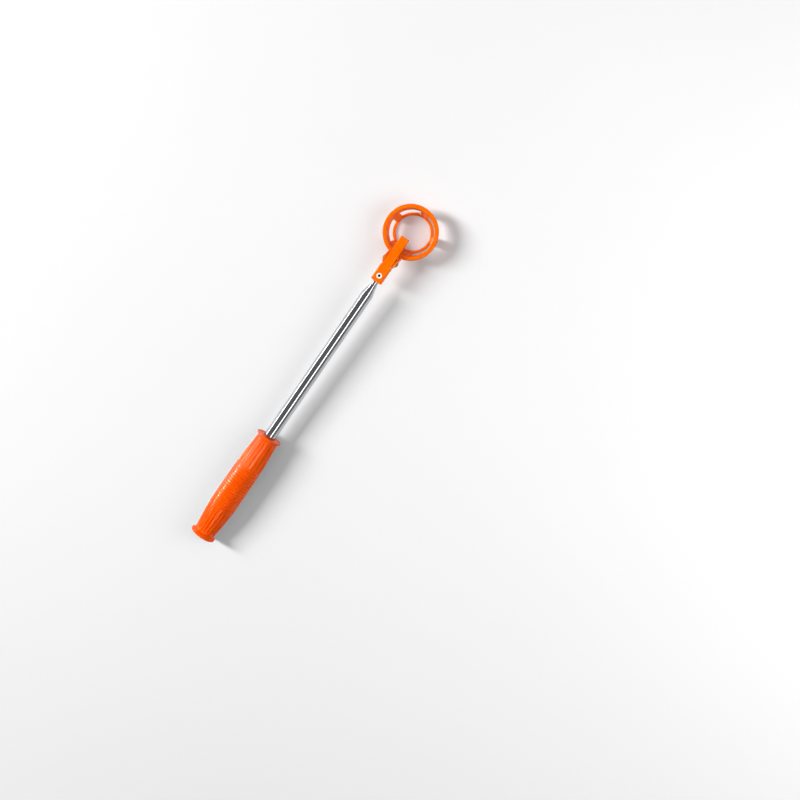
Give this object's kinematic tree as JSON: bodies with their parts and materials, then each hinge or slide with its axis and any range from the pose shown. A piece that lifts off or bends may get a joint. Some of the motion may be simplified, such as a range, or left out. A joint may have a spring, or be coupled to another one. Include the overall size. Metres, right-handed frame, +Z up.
{
  "type": "golf ball retriever",
  "caption": "Telescopic golf ball retriever with nested steel tubes, a ribbed moulded grip, and a fixed arm over a spring-closed round scoop.",
  "frame": {"origin": "bottom centre of the bounding box, on the surface that the scoop and the rear flange lie on", "axes": "+X from the grip to the scoop, +Z up; the pole rises 1.78 degrees towards the head"},
  "size_m": [0.4546, 0.0634, 0.0348],
  "materials": {
    "grip_orange": "semi-gloss moulded orange grip",
    "head_orange": "glossy moulded orange",
    "tube_steel": "polished drawn stainless tube",
    "sleeve_bronze": "phosphor bronze strip",
    "stop_rubber": "black rubber",
    "rivet_zinc": "bright zinc-plated eyelet",
    "pin_steel": "plain steel pin",
    "spring_steel": "bright spring wire"
  },
  "bodies": {
    "handle": {"grip": "grip_orange", "end_cap": "grip_orange", "bottom_stop": "stop_rubber", "pole_section_1": "tube_steel"},
    "section_2": {"pole_section_2": "tube_steel", "friction_sleeve_2": "sleeve_bronze"},
    "section_3": {"pole_section_3": "tube_steel", "friction_sleeve_3": "sleeve_bronze"},
    "section_4": {"pole_section_4": "tube_steel", "friction_sleeve_4": "sleeve_bronze"},
    "section_5": {"pole_section_5": "tube_steel", "friction_sleeve_5": "sleeve_bronze"},
    "section_6": {"pole_section_6": "tube_steel", "friction_sleeve_6": "sleeve_bronze"},
    "section_7": {"pole_section_7": "tube_steel", "friction_sleeve_7": "sleeve_bronze"},
    "sleeve_8": {"friction_sleeve_8": "sleeve_bronze"},
    "head": {"pole_section_8": "tube_steel", "head_arm": "head_orange", "tip_rivet": "rivet_zinc", "hinge_pin": "pin_steel", "torsion_spring": "spring_steel"},
    "scoop": {"scoop": "head_orange"}
  },
  "joints": [
    {"name": "section_2_slide", "type": "slide", "parent": "handle", "child": "section_2", "axis": [0.9995, 0, 0.0311], "range_m": [0, 0.23]},
    {"name": "section_3_slide", "type": "slide", "parent": "section_2", "child": "section_3", "axis": [0.9995, 0, 0.0311], "range_m": [0, 0.23205]},
    {"name": "section_4_slide", "type": "slide", "parent": "section_3", "child": "section_4", "axis": [0.9995, 0, 0.0311], "range_m": [0, 0.2341]},
    {"name": "section_5_slide", "type": "slide", "parent": "section_4", "child": "section_5", "axis": [0.9995, 0, 0.0311], "range_m": [0, 0.23615]},
    {"name": "section_6_slide", "type": "slide", "parent": "section_5", "child": "section_6", "axis": [0.9995, 0, 0.0311], "range_m": [0, 0.2382]},
    {"name": "section_7_slide", "type": "slide", "parent": "section_6", "child": "section_7", "axis": [0.9995, 0, 0.0311], "range_m": [0, 0.24025]},
    {"name": "section_8_slide", "type": "slide", "parent": "section_7", "child": "sleeve_8", "axis": [0.9995, 0, 0.0311], "range_m": [0, 0.2423]},
    {"name": "head_swivel", "type": "hinge", "parent": "sleeve_8", "child": "head", "pos_m": [0.1288, 0, 0.02614], "axis": [0.9995, 0, 0.0311], "continuous": true},
    {"name": "scoop_hinge", "type": "hinge", "parent": "head", "child": "scoop", "pos_m": [0.15653, 0, 0.0255], "axis": [0, 1, 0], "range_deg": [0, 40], "stiffness_Nm_per_rad": 0.03, "springref_deg": -60.16, "deforming": ["torsion_spring"]}
  ]
}
